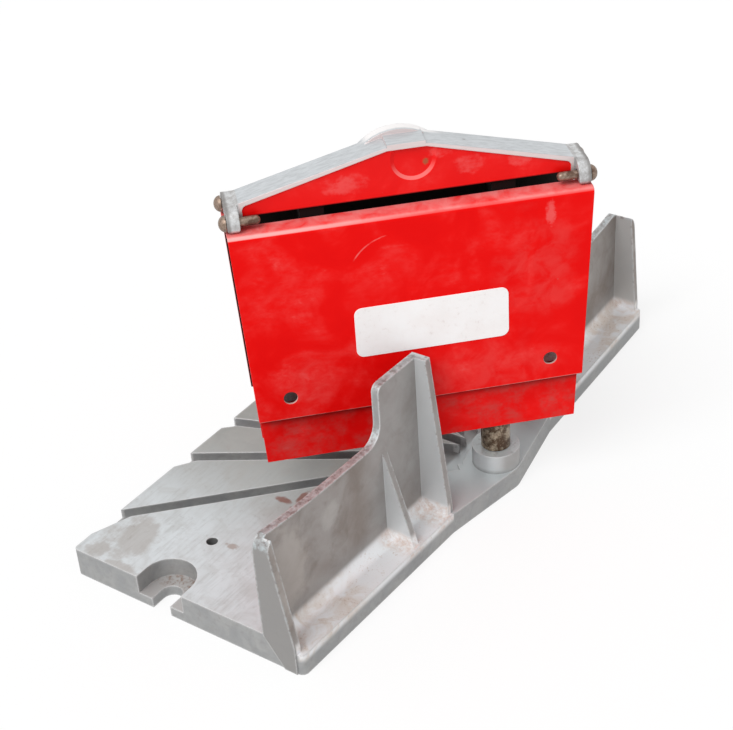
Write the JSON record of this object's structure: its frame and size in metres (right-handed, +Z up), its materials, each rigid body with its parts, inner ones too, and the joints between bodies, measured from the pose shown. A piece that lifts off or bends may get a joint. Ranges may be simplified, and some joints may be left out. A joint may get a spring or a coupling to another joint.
{
  "type": "mitre box saw",
  "caption": "Swivelling mitre box saw: die-cast base with a split fence, and a red enclosed saw on a slotted post that turns, drops and strokes.",
  "frame": {"origin": "middle of the underside of the base, on the bench", "axes": "+X along the base to its near end, +Y from the front edge to the back, +Z up; the saw head rests at the 45 degree near mitre"},
  "size_m": [0.304, 0.1633, 0.182],
  "materials": {
    "cast_aluminium": "as cast, stained and worn",
    "handle_enamel": "die cast, red enamel on the sides, bare along the top and ears",
    "red_enamel": "gloss red enamel on sheet steel, scuffed",
    "steel": "plain steel, stained",
    "blade_steel": "ground",
    "slide_fibre": "brown pressed fibre"
  },
  "bodies": {
    "base": {"base_casting": "cast_aluminium"},
    "swivel": {"pivot_post": "steel", "retaining_washer": "steel", "retaining_screw": "steel", "guard_plate_near": "red_enamel", "guard_plate_far": "red_enamel", "post_saddle_near": "steel", "post_saddle_far": "steel", "saddle_screw_lower_near": "steel", "saddle_screw_upper_near": "steel", "saddle_screw_lower_far": "steel", "saddle_screw_upper_far": "steel", "blade_guide_near": "slide_fibre", "blade_guide_far": "slide_fibre"},
    "head": {"saw_case": "red_enamel", "slide_pad_rear": "slide_fibre", "slide_pad_front_near": "slide_fibre", "slide_pad_front_far": "slide_fibre", "friction_leaf": "steel"},
    "saw": {"saw_blade": "blade_steel", "blade_back": "blade_steel", "blade_rivet_1": "steel", "blade_rivet_2": "steel", "blade_rivet_3": "steel", "stem_rivet_front": "steel", "stem_rivet_rear": "steel", "handle_casting": "handle_enamel", "runner_pin_front_near": "steel", "runner_pin_front_far": "steel", "runner_pin_rear_near": "steel", "runner_pin_rear_far": "steel"}
  },
  "joints": [
    {"name": "head_swivel", "type": "hinge", "parent": "base", "child": "swivel", "pos_m": [0, 0.06025, 0], "axis": [0, 0, 1], "range_deg": [-90, 0]},
    {"name": "head_lift", "type": "slide", "parent": "swivel", "child": "head", "axis": [0, 0, 1], "range_m": [-0.026, 0]},
    {"name": "saw_stroke", "type": "slide", "parent": "head", "child": "saw", "axis": [0.7071, -0.7071, 0], "range_m": [-0.025, 0.025]}
  ]
}
